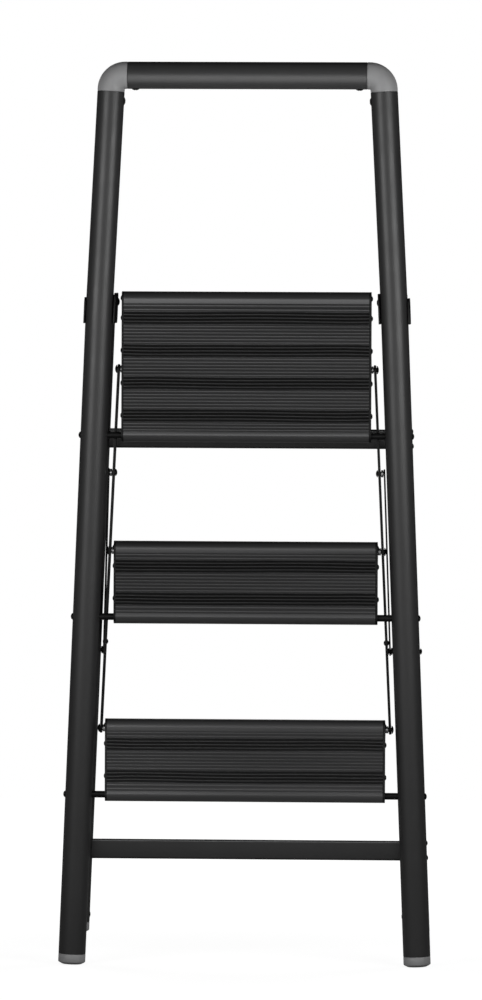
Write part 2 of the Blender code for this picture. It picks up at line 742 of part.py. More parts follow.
def rear_frame():
    both_sides(rear_leg, "rear_leg")
    for hand, side in SIDES.items():
        foot_cap(f"rear_foot_{hand}", side, "rear_frame", rear_sole(side))
    for label, z in CROSSBAR_Z.items():
        crossbar(f"rear_crossbar_{label}", z)
    both_sides(spreader_foot_pin, "spreader_foot_pin")


def linkage():
    both_sides(link_bar, "link_bar")
    both_sides(spreader_top_pin, "spreader_top_pin")
    both_sides(spreader_top_spacer, "spreader_top_spacer")
    both_sides(spreader_link, "spreader_link")


clear_scene()
BLACK_PAINT = material("black_paint", (0.035, 0.035, 0.036), 0.42, 0.0)
BLACK_ANODISED = material("black_anodised", (0.045, 0.045, 0.046), 0.38, 0.6)
BLACK_STEEL = material("black_steel", (0.015, 0.015, 0.016), 0.45, 0.5)
RUBBER = material("rubber", (0.010, 0.010, 0.010), 0.80, 0.0)
GREY_PLASTIC = material("grey_plastic", (0.32, 0.32, 0.32), 0.48, 0.0)
ZINC = material("zinc", (0.55, 0.55, 0.56), 0.30, 1.0)
EMPTIES = make_pivots()
front_frame()
rear_frame()
for tread_kind in TREAD_Z:
    tread(tread_kind)
linkage()
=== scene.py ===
import json
import math

import bmesh
import bpy
from mathutils import Matrix, Vector

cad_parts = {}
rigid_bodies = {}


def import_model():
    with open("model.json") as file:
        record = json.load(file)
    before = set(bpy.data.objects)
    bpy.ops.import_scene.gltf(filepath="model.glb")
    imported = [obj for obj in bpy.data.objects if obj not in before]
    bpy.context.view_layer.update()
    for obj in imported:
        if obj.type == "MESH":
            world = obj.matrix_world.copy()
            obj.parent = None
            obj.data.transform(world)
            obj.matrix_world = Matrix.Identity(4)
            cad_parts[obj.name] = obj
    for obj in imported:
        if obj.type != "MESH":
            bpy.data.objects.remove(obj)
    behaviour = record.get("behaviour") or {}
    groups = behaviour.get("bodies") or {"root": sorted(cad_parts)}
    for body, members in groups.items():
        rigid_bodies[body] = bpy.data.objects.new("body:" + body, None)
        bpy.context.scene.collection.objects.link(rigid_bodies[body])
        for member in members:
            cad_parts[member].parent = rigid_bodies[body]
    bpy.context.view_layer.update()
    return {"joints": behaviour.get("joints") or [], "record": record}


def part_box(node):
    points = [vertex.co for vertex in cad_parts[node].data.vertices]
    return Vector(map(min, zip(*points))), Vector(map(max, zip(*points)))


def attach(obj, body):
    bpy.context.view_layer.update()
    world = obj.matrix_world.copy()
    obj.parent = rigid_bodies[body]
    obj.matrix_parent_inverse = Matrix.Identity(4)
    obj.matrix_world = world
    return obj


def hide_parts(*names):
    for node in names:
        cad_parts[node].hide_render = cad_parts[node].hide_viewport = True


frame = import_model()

# The folded ladder's visible pieces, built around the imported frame. Metres, +Z up, +Y to the back.
# Places come from the frame's mounts, joints and node boxes. Sections are named here.

# ---- sections, as in the CAD. A head is (radius, height) -------------------------------
GAP = 0.0003
TUBE_RADIUS = 0.0181
TUBE_WALL = 0.0018
SPIGOT_RADIUS = TUBE_RADIUS - TUBE_WALL - GAP
RAIL_SLOPE = 0.0510
LEG_BEND_LENGTH = 0.024
ELBOW_RADIUS = 0.0190
ELBOW_COLLAR = 0.0030
SPIGOT_LENGTH = 0.025
FOOT_HEIGHT = 0.0136
SOLE_RADIUS = TUBE_RADIUS - 0.0052
SOLE_CHAMFER = 0.0032
NOSING_RADIUS = 0.0090
NOSING_BORE = 0.0065
NOSING_DRAW = 0.0017
ROD_RADIUS = 0.0045
ROD_HEAD = (0.0042, 0.0024)
DECK_THICKNESS = 0.0024
STRIP_WIDTH = 0.0173
STRIP_PITCH = 0.0433
STRIP_DEPTH = 0.0024
STRIP_RIDGE_PITCH = 0.0044
RIB_PITCH = 0.0044
RIB_HEIGHT = 0.0008
PORT_Y = 0.0015
LOWER_LAND = 0.0054
UPPER_LAND = 0.0070
LINK_PIN_RADIUS = 0.0030
LINK_PIN_HOLE = LINK_PIN_RADIUS + GAP
LINK_PIN_HEAD = (0.0055, 0.0028)
SPACER_RADIUS = 0.0048
LINK_WIDTH = 0.0128
LINK_THICKNESS = 0.0032
STUD_Z = 0.4310
STUD_HEAD = (0.0035, 0.0024)
SPREADER_WIDTH = 0.0120
SPREADER_THICKNESS = 0.0020
SPREADER_TOP_HEAD = (0.0048, 0.0026)
SPREADER_FOOT_HEAD = (0.0045, 0.0022)
CROSSBAR_WALL = 0.0015
CROSSBAR_CORNER = 0.0030
CROSSBAR_RIVET_RISE = 0.0098
CHEEK_THICKNESS = 0.0020
CHEEK_CORNER = 0.0080
OUTER_CHEEK_GAP = 0.0002
INNER_CHEEK_GAP = 0.0009
HINGE_PIN_RADIUS = 0.0040
HINGE_PIN_HEAD = (0.0050, 0.0024)
SCREW_SINK = 0.0003

TUBE_SIDES = 72
PIN_SIDES = 32
SIDES = {"left": -1, "right": 1}
X_AXIS = Vector((1, 0, 0))
Y_AXIS = Vector((0, 1, 0))
Z_AXIS = Vector((0, 0, 1))

# ---- studio values ---------------------------------------------------------------------
CAMERA_TARGET = Vector((-0.0076, 0, 0.6203))
CAMERA_DISTANCE = 10.0
CAMERA_LENS = 270
CAMERA_AZIMUTH = math.radians(2.8)
CAMERA_ELEVATION = math.radians(1.95)
CAMERA_ROLL = math.radians(0.22)

# Each group of pieces has a left key, a right key and a front fill of its own: the names that its
# pieces begin with, then the keys' height, the keys' radiance and the fill's radiance. The main
# group is every piece whose name doesn't begin with one of OWN_LIGHTS.
OWN_LIGHTS = ("middle_step", "lower_step", "rear_crossbar")
TREAD_LIGHTS = (
    ("main", (), 1.00, 7.2, 0.58),
    ("middle", ("middle_step",), 0.68, 6.8, 0.30),
    ("lower", ("lower_step",), 0.46, 12.5, 0.02),
)
# Place, height and radiance of the lamps that light the crossbars alone.
BAR_LIGHTS = (
    ("bar_top_light", (0, -1.10, 1.25), 0.35, 9.0),
    ("bar_front_light", (0, -1.50, 0.15), 0.40, 0.5),
    ("bar_rear_light", (0, 1.60, 0.05), 0.40, 2.5),
)
RAIL_RADIANCE = 1.8
LEG_RADIANCE = 0.75
REAR_RADIANCE = 3.0
REAR_TREAD_RADIANCE = 0.8

# How the room looks in reflections: each step of a direction's component takes the brightness from
# the first level to the second, and the steps are multiplied.
ROOM_STEPS = (
    ("Y", (0.40, -0.90), (0.08, 0.60)),
    ("Y", (0.95, 0.40), (0.15, 1.0)),
    ("Z", (0.14, -0.06), (0.14, 1.0)),
)

# ---- places, from the frame ------------------------------------------------------------
RECORD = frame["record"]
MOUNTS = {mount["name"]: mount for mount in RECORD["mounts"]}
JOINTS = {joint["name"]: Vector(joint["pos_m"]) for joint in frame["joints"]}
BODY_OF = {node: body for body, nodes in RECORD["behaviour"]["bodies"].items() for node in nodes}
SLOT_OF = {part["node"]: part["material_slot"] for part in RECORD["subparts"]}

HINGE = JOINTS["fold"]
FRONT_Y = JOINTS["platform_tilt"].y
LINK_TOP = JOINTS["link_bar_pivot"]
SPREADER_FOOT = JOINTS["spreader_pivot"]
TREAD_Z = {
    "lower_step": JOINTS["lower_step_tilt"].z,
    "middle_step": JOINTS["middle_step_tilt"].z,
    "platform": JOINTS["platform_tilt"].z,
}
LINK_RISE = LINK_TOP.z - TREAD_Z["platform"]


def middle(node):
    """Middle of a node's box."""
    low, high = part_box(node)
    return (low + high) / 2


def sole(name):
    return Vector(MOUNTS[name]["pos_m"])


def leg_up(side):
    """Unit vector up a leg, square to its sole."""
    hand = "left" if side < 0 else "right"
    return -Vector(MOUNTS[f"front_sole_{hand}"]["axis"]).normalized()


def span_x(node, side):
    """How near to the centre plane a node begins, and how far from it the node ends."""
    low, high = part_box(node)
    return (low.x, high.x) if side > 0 else (-high.x, -low.x)


LEG_SLOPE = -leg_up(1).x / leg_up(1).z
RAIL_Z = middle("grab_rail").z
SPREADER_TOP_Z = middle("spreader_top_pin_right").z


def leg_x(z):
    """Distance of a front leg's axis from the centre plane."""
    foot = sole("front_sole_right")
    straight = foot.x - LEG_SLOPE * (min(z, HINGE.z) - foot.z)
    return straight - RAIL_SLOPE * max(0, z - HINGE.z)


def rear_x(z):
    """Distance of a rear leg's axis from the centre plane."""
    foot = sole("rear_sole_right")
    return foot.x - LEG_SLOPE * (z - foot.z)


def lean_x(node, thickness, z):
    """Centre of a leaning strap's thickness, from its box. Its foot is further out than its top."""
    low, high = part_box(node)
    share = (z - low.z) / (high.z - low.z)
    foot, top = high.x - thickness / 2, low.x + thickness / 2
    return foot + share * (top - foot)


def link_x(z):
    return lean_x("link_bar_right", LINK_THICKNESS, z)


def spreader_x(z):
    return lean_x("spreader_link_right", SPREADER_THICKNESS, z)


# ---- shapes ----------------------------------------------------------------------------
def mesh_object(name, shape):
    bmesh.ops.recalc_face_normals(shape, faces=shape.faces)
    mesh = bpy.data.meshes.new(name)
    shape.to_mesh(mesh)
    shape.free()
    obj = bpy.data.objects.new(name, mesh)
    bpy.context.scene.collection.objects.link(obj)
    return obj


def smooth(obj, angle=35):
    """Shades smooth, with edges sharper than an angle in degrees left sharp."""
    obj.data.shade_smooth()
    obj.data.set_sharp_from_angle(angle=math.radians(angle))
    return obj


def bridge(shape, first, second):
    """Quads between two rings that have as many points."""
    for index in range(len(first)):
        after = (index + 1) % len(first)
        shape.faces.new((first[index], first[after], second[after], second[index]))


def swept_body(name, stations, sides, hollow=False):
    """A round body through (centre, direction, radius) stations. A hollow one closes on itself."""
    shape = bmesh.new()
    rings = []
    for centre, direction, radius in stations:
        across = direction.cross(Y_AXIS)
        if across.length < 0.5:
            across = X_AXIS
        other = across.cross(direction)
        ring = []
        for step in range(sides):
            turn = math.tau * step / sides
            offset = math.cos(turn) * across + math.sin(turn) * other
            ring.append(shape.verts.new(centre + radius * offset))
        rings.append(ring)
    pairs = list(zip(rings, rings[1:]))
    if hollow:
        pairs.append((rings[-1], rings[0]))
    else:
        shape.faces.new(rings[0])
        shape.faces.new(rings[-1])
    for first, second in pairs:
        bridge(shape, first, second)
    return mesh_object(name, shape)


def tube(name, path, outer, inner, edge=0.0003, sides=TUBE_SIDES):
    """A tube along a path of (centre, direction), with its sharp edges broken."""
    first, first_way = path[0]
    last, last_way = path[-1]
    start = [(first, first_way, outer - edge), (first + first_way * edge, first_way, outer)]
    finish = [(last - last_way * edge, last_way, outer), (last, last_way, outer - edge)]
    skin = start + [(centre, way, outer) for centre, way in path[1:-1]] + finish
    bore = [(centre, way, inner) for centre, way in reversed(path)]
    return swept_body(name, skin + bore, sides, hollow=True)


def turned(name, profile, origin, axis, sides=PIN_SIDES):
    """A turned body: (distance along axis, radius) pairs from an origin."""
    stations = [(origin + axis * along, axis, radius) for along, radius in profile]
    return swept_body(name, stations, sides)


def turned_outwards(name, profile, side, y, z):
    """A turned body along X. Its profile counts from the centre plane outwards."""
    mirrored = [(side * x, radius) for x, radius in profile]
    return turned(name, mirrored, Vector((0, y, z)), X_AXIS)


def arc(centre, radius, start, end, count):
    """Points on an arc in (y, z), from one angle in degrees to another."""
    points = []
    for step in range(count + 1):
        angle = math.radians(start + (end - start) * step / count)
        points.append((centre[0] + radius * math.cos(angle), centre[1] + radius * math.sin(angle)))
    return points


def plate(name, outline, near_x, far_x, bevel=0.0):
    """An outline of (y, z) points between two faces, each a function of z that gives x."""
    shape = bmesh.new()
    near = [shape.verts.new((near_x(z), y, z)) for y, z in outline]
    far = [shape.verts.new((far_x(z), y, z)) for y, z in outline]
    faces = [shape.faces.new(near), shape.faces.new(far)]
    bridge(shape, near, far)
    if bevel:
        edges = [edge for face in faces for edge in face.edges]
        bmesh.ops.bevel(shape, geom=edges, offset=bevel, segments=2, affect="EDGES", profile=0.5)
    return mesh_object(name, shape)


def dome(base, radius, height, count=6):
    """(distance, radius) pairs of a rivet head from its rim outwards, on a spherical cap."""
    rim = 0.25 * height
    cap = height - rim
    ball = (radius ** 2 + cap ** 2) / (2 * cap)
    pairs = [(base, radius * 0.98), (base + rim, radius)]
    for step in range(1, count):
        away = radius * math.cos(math.pi / 2 * step / count)
        pairs.append((base + rim + math.sqrt(ball ** 2 - away ** 2) - (ball - cap), away))
    return pairs


def bake(obj):
    """Applies an object's modifiers to its mesh."""
    graph = bpy.context.evaluated_depsgraph_get()
    mesh = bpy.data.meshes.new_from_object(obj.evaluated_get(graph))
    obj.modifiers.clear()
    obj.data = mesh


def carve(obj, cutters, operation="DIFFERENCE"):
    """Cuts or joins the others into obj, and removes them."""
    for number, cutter in enumerate(cutters):
        modifier = obj.modifiers.new(f"carve_{number}", "BOOLEAN")
        modifier.operation = operation
        modifier.solver = "EXACT"
        modifier.object = cutter
    bake(obj)
    for cutter in cutters:
        bpy.data.objects.remove(cutter)
    return obj


def drill(x, reach, y, z, radius):
    """A cutter for a hole along X, through whatever lies within reach of x."""
    return turned("drill", [(x - reach, radius), (x + reach, radius)], Vector((0, y, z)), X_AXIS)


def add_piece(piece, body, slot):
    """Gives a piece its finish, and makes it ride on a body."""
    piece.data.materials.clear()
    piece.data.materials.append(FINISHES[slot])
    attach(piece, body)


def stand_for(piece, node):
    """The piece takes a node's body and finish, and the node is hidden."""
    add_piece(piece, BODY_OF[node], SLOT_OF[node])
    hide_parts(node)


# ---- materials -------------------------------------------------------------------------
class Nodes:
    """Short ways to add nodes to one material."""

    def __init__(self, name, colour, roughness, metallic=0.0, **sockets):
        self.material = bpy.data.materials.new(name)
        self.material.use_nodes = True
        self.tree = self.material.node_tree
        self.shader = self.tree.nodes["Principled BSDF"]
        self.shader.inputs["Base Color"].default_value = (*colour, 1)
        self.shader.inputs["Roughness"].default_value = roughness
        self.shader.inputs["Metallic"].default_value = metallic
        for socket, value in sockets.items():
            self.shader.inputs[socket.replace("_", " ")].default_value = value
        self.place = self.tree.nodes.new("ShaderNodeTexCoord").outputs["Object"]

    def link(self, start, end):
        self.tree.links.new(start, end)

    def noise(self, scale, detail, stretch=(1, 1, 1)):
        """Noise over the object's own coordinates, stretched along the axes with a low factor."""
        mapping = self.tree.nodes.new("ShaderNodeMapping")
        mapping.inputs["Scale"].default_value = stretch
        self.link(self.place, mapping.inputs["Vector"])
        texture = self.tree.nodes.new("ShaderNodeTexNoise")
        texture.inputs["Scale"].default_value = scale
        texture.inputs["Detail"].default_value = detail
        self.link(mapping.outputs["Vector"], texture.inputs["Vector"])
        return texture.outputs["Fac"]

    def spread(self, value, low, high):
        """Noise mapped to low to high. Most of it lies between 0.3 and 0.7."""
        node = self.tree.nodes.new("ShaderNodeMapRange")
        node.inputs["From Min"].default_value = 0.3
        node.inputs["From Max"].default_value = 0.7
        node.inputs["To Min"].default_value = low
        node.inputs["To Max"].default_value = high
        self.link(value, node.inputs["Value"])
        return node.outputs["Result"]

    def tint(self, value, dark, light):
        """The base colour runs between two greys."""
        mix = self.tree.nodes.new("ShaderNodeMix")
        mix.data_type = "RGBA"
        mix.inputs["A"].default_value = (*dark, 1)
        mix.inputs["B"].default_value = (*light, 1)
        self.link(self.spread(value, 0, 1), mix.inputs["Factor"])
        self.link(mix.outputs["Result"], self.shader.inputs["Base Color"])

    def roughen(self, value, low, high):
        self.link(self.spread(value, low, high), self.shader.inputs["Roughness"])

    def bump(self, layers):
        """Stacks bumps of (value, strength, distance in metres)."""
        below = None
        for value, strength, distance in layers:
            node = self.tree.nodes.new("ShaderNodeBump")
            node.inputs["Strength"].default_value = strength
            node.inputs["Distance"].default_value = distance
            self.link(value, node.inputs["Height"])
            if below:
                self.link(below, node.inputs["Normal"])
            below = node.outputs["Normal"]
        self.link(below, self.shader.inputs["Normal"])


def grey(value):
    """A neutral grey with a trace of blue."""
    return (value, value, value * 1.01)


def powder_coat():
    """Fine satin powder coat on tube: an orange-peel skin with a slow change in gloss."""
    made = Nodes("powder_coat", grey(0.028), 0.40)
    made.tint(made.noise(7, 4), grey(0.026), grey(0.030))
    made.roughen(made.noise(34, 5), 0.37, 0.43)
    made.bump([
        (made.noise(420, 2), 0.10, 0.0003),
        (made.noise(2600, 2), 0.12, 0.00008),
    ])
    return made.material


def anodised():
    """Extruded aluminium in satin black: fine die lines along its length."""
    made = Nodes("black_anodised", grey(0.13), 0.30, metallic=0.9)
    die_lines = made.noise(900, 2, stretch=(0.004, 1, 1))
    made.tint(made.noise(60, 4, stretch=(0.05, 1, 1)), grey(0.115), grey(0.145))
    made.roughen(made.noise(160, 4, stretch=(0.02, 1, 1)), 0.27, 0.34)
    made.bump([(die_lines, 0.12, 0.00012), (made.noise(1800, 2), 0.08, 0.00006)])
    return made.material


def black_steel():
    """Black-finished steel with a little handling polish."""
    made = Nodes("black_steel", grey(0.004), 0.42, Specular_IOR_Level=0.22)
    made.tint(made.noise(90, 4), grey(0.003), grey(0.006))
    made.roughen(made.noise(140, 5), 0.36, 0.48)
    made.bump([(made.noise(1500, 3), 0.10, 0.0001)])
    return made.material


def strip_rubber():
    """Matt moulded rubber with dust-fine grain."""
    made = Nodes("strip_rubber", grey(0.005), 0.34, Specular_IOR_Level=0.75)
    made.tint(made.noise(240, 4), grey(0.004), grey(0.008))
    made.roughen(made.noise(500, 3), 0.32, 0.42)
    made.bump([(made.noise(2200, 3), 0.25, 0.00012)])
    return made.material


def grey_plastic():
    """Moulded mid-grey plastic with a fine spark texture and faint flow marks."""
    made = Nodes("grey_plastic", grey(0.32), 0.47)
    flow_marks = made.noise(45, 3, stretch=(1, 1, 0.5))
    made.tint(flow_marks, grey(0.31), grey(0.36))
    made.roughen(made.noise(120, 4), 0.43, 0.53)
    made.bump([(made.noise(1300, 2), 0.16, 0.0001), (made.noise(90, 2), 0.10, 0.0003)])
    return made.material


def zinc_plate():
    """Bright zinc with turning marks and slight dulling."""
    made = Nodes("zinc_plate", grey(0.62), 0.26, metallic=1.0)
    made.tint(made.noise(400, 4), grey(0.50), grey(0.70))
    made.roughen(made.noise(300, 4), 0.20, 0.36)
    made.bump([(made.noise(1500, 2, stretch=(3, 1, 1)), 0.10, 0.00008)])
    return made.material


FINISHES = {
    "black_paint": powder_coat(),
    "black_anodised": anodised(),
    "black_steel": black_steel(),
    "rubber": strip_rubber(),
    "grey_plastic": grey_plastic(),
    "zinc": zinc_plate(),
}


# ---- front frame -----------------------------------------------------------------------
def elbow_reach():
    """From the corner of two axes to either end of the elbow's bend."""
    return ELBOW_RADIUS * math.tan((math.pi / 2 - math.atan(RAIL_SLOPE)) / 2)


def rail_corner(side):
    return Vector((side * leg_x(RAIL_Z), FRONT_Y, RAIL_Z))


def rail_up(side):
    return Vector((-side * RAIL_SLOPE, 0, 1)).normalized()


def leg_tube(node, path, side, axis_x, y, holes):
    """A leg's tube, with the holes of (height, radius) drilled through both of its walls."""
    leg = tube(f"{node}_tube", path, TUBE_RADIUS, TUBE_RADIUS - TUBE_WALL)
    drills = [drill(side * axis_x(z), 0.03, y, z, radius) for z, radius in holes]
    stand_for(smooth(carve(leg, drills)), node)


def front_leg(hand, side):
    """Tube from the foot to the elbow, bent a little at the hinge, with holes for the pivot rods."""
    start = sole(f"front_sole_{hand}") + leg_up(side) * (FOOT_HEIGHT + GAP)
    end = rail_corner(side) - rail_up(side) * (elbow_reach() + ELBOW_COLLAR + GAP)
    path = [(start, leg_up(side))]
    bends = 6
    for step in range(bends + 1):
        share = step / bends
        z = HINGE.z + LEG_BEND_LENGTH * (share - 0.5)
        drift = LEG_BEND_LENGTH / 2 * (RAIL_SLOPE - LEG_SLOPE) * (share * (1 - share))
        way = leg_up(side).lerp(rail_up(side), share).normalized()
        path.append((Vector((side * (leg_x(z) - drift), FRONT_Y, z)), way))
    path.append((end, rail_up(side)))
    holes = [(z, ROD_RADIUS + GAP) for z in TREAD_Z.values()]
    leg_tube(f"front_leg_{hand}", path, side, leg_x, FRONT_Y, holes)


def grab_rail():
    low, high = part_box("grab_rail")
    path = [(Vector((x, FRONT_Y, RAIL_Z)), X_AXIS) for x in (low.x, high.x)]
    rail = tube("grab_rail_tube", path, TUBE_RADIUS, TUBE_RADIUS - TUBE_WALL)
    stand_for(smooth(rail), "grab_rail")


def elbow_mouth(end, way):
    """Stations from an elbow's bend over a collar's rounded lip to the end of its spigot."""
    lip = 0.0005
    return [
        (end + way * (ELBOW_COLLAR - lip), way, TUBE_RADIUS),
        (end + way * (ELBOW_COLLAR - 0.3 * lip), way, TUBE_RADIUS - 0.3 * lip),
        (end + way * ELBOW_COLLAR, way, TUBE_RADIUS - lip),
        (end + way * ELBOW_COLLAR, way, SPIGOT_RADIUS),
        (end + way * (ELBOW_COLLAR + SPIGOT_LENGTH - 0.002), way, SPIGOT_RADIUS),
        (end + way * (ELBOW_COLLAR + SPIGOT_LENGTH), way, SPIGOT_RADIUS - 0.001),
    ]


def corner_elbow(hand, side):
    """Plastic bend between the rail and a leg, with a collar where each tube butts against it."""
    inwards = Vector((-side, 0, 0))
    down = -rail_up(side)
    corner = rail_corner(side)
    reach = elbow_reach()
    rail_end = corner + inwards * reach
    leg_end = corner + down * reach
    centre = rail_end - Z_AXIS * ELBOW_RADIUS
    turn = math.pi / 2 - math.atan(RAIL_SLOPE)
    rail_mouth = [(place, -way, radius) for place, way, radius in elbow_mouth(rail_end, inwards)]
    bend = []
    bends = 28
    for step in range(bends + 1):
        angle = turn * step / bends
        out = Vector((side * math.sin(angle), 0, math.cos(angle)))
        along = Vector((side * math.cos(angle), 0, -math.sin(angle)))
        bend.append((centre + out * ELBOW_RADIUS, along, TUBE_RADIUS))
    stations = rail_mouth[::-1] + bend + elbow_mouth(leg_end, down)
    elbow = swept_body(f"corner_elbow_{hand}_moulding", stations, TUBE_SIDES)
    stand_for(smooth(elbow), f"corner_elbow_{hand}")


def foot(frame_side, hand, side):
    """Moulded foot with a chamfered sole, rounded at each edge."""
    node = f"{frame_side}_foot_{hand}"
    profile = [
        (0, SOLE_RADIUS - 0.0006),
        (0.0003, SOLE_RADIUS + 0.0002),
        (SOLE_CHAMFER * 0.5, (SOLE_RADIUS + TUBE_RADIUS) / 2 + 0.0003),
        (SOLE_CHAMFER * 0.85, TUBE_RADIUS - 0.0004),
        (SOLE_CHAMFER * 1.15, TUBE_RADIUS),
        (FOOT_HEIGHT - 0.0004, TUBE_RADIUS),
        (FOOT_HEIGHT, TUBE_RADIUS - 0.0004),
        (FOOT_HEIGHT, SPIGOT_RADIUS),
        (FOOT_HEIGHT + SPIGOT_LENGTH - 0.001, SPIGOT_RADIUS),
        (FOOT_HEIGHT + SPIGOT_LENGTH, SPIGOT_RADIUS - 0.001),
    ]
    base = sole(f"{frame_side}_sole_{hand}")
    moulding = turned(f"{node}_moulding", profile, base, leg_up(side), TUBE_SIDES)
    stand_for(smooth(moulding, 50), node)


def pivot_rod(tread):
    """Steel rod with a domed head outside each front leg."""
    label = tread.removesuffix("_step")
    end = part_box(f"{label}_pivot_rod")[1].x - ROD_HEAD[1]
    head = dome(end, *ROD_HEAD)
    far_head = [(-x, radius) for x, radius in reversed(head)]
    profile = far_head + [(-end, ROD_RADIUS), (end, ROD_RADIUS)] + head
    rod = turned(f"{label}_rod", profile, Vector((0, FRONT_Y, TREAD_Z[tread])), X_AXIS)
    stand_for(smooth(rod), f"{label}_pivot_rod")


def hinge_bracket(hand, side):
    """Bent plate: two cheeks beside the legs and a web between them."""
    node = f"hinge_bracket_{hand}"
    low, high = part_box(node)
    outer_face = TUBE_RADIUS + OUTER_CHEEK_GAP
    inner_face = TUBE_RADIUS + INNER_CHEEK_GAP + GAP
    front, back = low.y, high.y
    bottom, top = low.z, high.z
    web_front = FRONT_Y + TUBE_RADIUS + 0.0005

    def face(offset):
        """A face that follows the leg, this far outside its axis."""
        return lambda z: side * (leg_x(HINGE.z) - LEG_SLOPE * (z - HINGE.z) + offset)

    def cheek(name, near, far, cheek_top):
        corner = CHEEK_CORNER
        outline = [(front, bottom), (back - corner, bottom)]
        outline += arc((back - corner, bottom + corner), corner, -90, 0, 8)[1:]
        outline += arc((back - corner, cheek_top - corner), corner, 0, 90, 8)
        outline += [(front + 0.0040, cheek_top), (front, cheek_top - 0.0050)]
        return plate(name, outline, face(near), face(far), bevel=0.0003)

    plates = cheek(f"{node}_plate", outer_face, outer_face + CHEEK_THICKNESS, top - 0.0058)
    inner = cheek("inner_cheek", -inner_face - CHEEK_THICKNESS, -inner_face, top)
    web_outline = [
        (web_front, bottom + 0.0010),
        (web_front + 0.0020, bottom + 0.0010),
        (web_front + 0.0020, HINGE.z - 0.0060),
        (web_front, HINGE.z - 0.0060),
    ]
    overlap = CHEEK_THICKNESS / 2
    web = plate("web", web_outline, face(-inner_face - overlap), face(outer_face + overlap))
    carve(plates, [inner, web], "UNION")
    carve(plates, [drill(side * leg_x(HINGE.z), 0.03, HINGE.y, HINGE.z, HINGE_PIN_RADIUS + GAP)])
    stand_for(smooth(plates), node)


def hinge_pin(hand, side):
    """Pin with a broken edge outside and a domed head inside."""
    axis, edge = leg_x(HINGE.z), 0.0004
    outer = axis + TUBE_RADIUS + OUTER_CHEEK_GAP + CHEEK_THICKNESS
    inner = axis - TUBE_RADIUS - INNER_CHEEK_GAP - CHEEK_THICKNESS - 3 * GAP
    profile = [(outer, HINGE_PIN_RADIUS - edge), (outer - edge, HINGE_PIN_RADIUS)]
    profile += [(inner, HINGE_PIN_RADIUS)] + [(-x, radius) for x, radius in dome(-inner, *HINGE_PIN_HEAD)]
    pin = turned_outwards(f"hinge_pin_{hand}_rivet", profile, side, HINGE.y, HINGE.z)
    stand_for(smooth(pin), f"hinge_pin_{hand}")


# ---- rear frame ------------------------------------------------------------------------
def rear_leg(hand, side):
    """Straight tube from the foot to the hinge, with holes for the hinge pin and the spreader's bolt."""
    start = sole(f"rear_sole_{hand}") + leg_up(side) * (FOOT_HEIGHT + GAP)
    end_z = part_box(f"rear_leg_{hand}")[1].z - TUBE_RADIUS * abs(leg_up(side).x)
    end = Vector((side * rear_x(end_z), HINGE.y, end_z))
    path = [(start, leg_up(side)), (end, leg_up(side))]
    holes = [(HINGE.z, HINGE_PIN_RADIUS + GAP), (SPREADER_FOOT.z, LINK_PIN_HOLE)]
    leg_tube(f"rear_leg_{hand}", path, side, rear_x, HINGE.y, holes)


def rounded_box(half_depth, half_height, radius):
    """Outline of a rectangle in (y, z) with round corners."""
    points = []
    for turn, (y, z) in enumerate(((1, 1), (-1, 1), (-1, -1), (1, -1))):
        centre = (y * (half_depth - radius), z * (half_height - radius))
        points += arc(centre, radius, 90 * turn, 90 * turn + 90, 6)
    return points


def crossbar(label):
    """Rectangular tube with round edges, coped to the rear legs."""
    node = f"rear_crossbar_{label}"
    low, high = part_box(node)
    z = (low.z + high.z) / 2
    depth, height = (high.y - low.y) / 2, (high.z - low.z) / 2
    half = rear_x(z) - 0.006
    shape = bmesh.new()
    rings = []
    for inset, radius in ((0, CROSSBAR_CORNER), (CROSSBAR_WALL, CROSSBAR_CORNER - CROSSBAR_WALL)):
        for x in (-half, half):
            outline = rounded_box(depth - inset, height - inset, radius)
            rings.append([shape.verts.new((x, HINGE.y + y, z + up)) for y, up in outline])
    outer_left, outer_right, inner_left, inner_right = rings
    pairs = (
        (outer_left, outer_right),
        (outer_right, inner_right),
        (inner_right, inner_left),
        (inner_left, outer_left),
    )
    for first, second in pairs:
        bridge(shape, first, second)
    bar = mesh_object(f"{node}_tube", shape)
    copes = []
    for side in SIDES.values():
        ends = [Vector((side * rear_x(z + up), HINGE.y, z + up)) for up in (-0.05, 0.05)]
        stations = [(end, leg_up(side), TUBE_RADIUS + GAP) for end in ends]
        copes.append(swept_body("cope", stations, TUBE_SIDES))
    stand_for(smooth(carve(bar, copes)), node)


# ---- treads ----------------------------------------------------------------------------
def tread_span(tread):
    """From a tread's rod to the axis of its other nosing."""
    low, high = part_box(f"{tread}_deck")
    return high.z - low.z - 2 * NOSING_RADIUS


def strip_centres(tread):
    """Heights of the grip strips' middles above a tread's rod."""
    count = 4 if tread == "platform" else 2
    half = tread_span(tread) / 2
    return [half + STRIP_PITCH * (index - (count - 1) / 2) for index in range(count)]


def reeded_face(tread):
    """The walking face from bottom to top: round ribs that meet in sharp valleys, and strip channels."""
    span = tread_span(tread)
    face = -NOSING_RADIUS
    edges = [LOWER_LAND]
    for centre in strip_centres(tread):
        edges += [centre - STRIP_WIDTH / 2, centre + STRIP_WIDTH / 2]
    edges.append(span - UPPER_LAND)
    points = []
    steps = 8
    for index in range(0, len(edges), 2):
        low, high = edges[index], edges[index + 1]
        ribs = max(1, round((high - low) / RIB_PITCH))
        pitch = (high - low) / ribs
        for rib in range(ribs):
            for step in range(steps + 1):
                across = 2 * step / steps - 1
                drop = RIB_HEIGHT * abs(across) ** 1.4
                points.append((face + drop, low + pitch * (rib + step / steps)))
        if index + 2 < len(edges):
            points.append((face + STRIP_DEPTH, high))
            points.append((face + STRIP_DEPTH, edges[index + 2]))
    return [point for point, before in zip(points, [None] + points) if point != before]


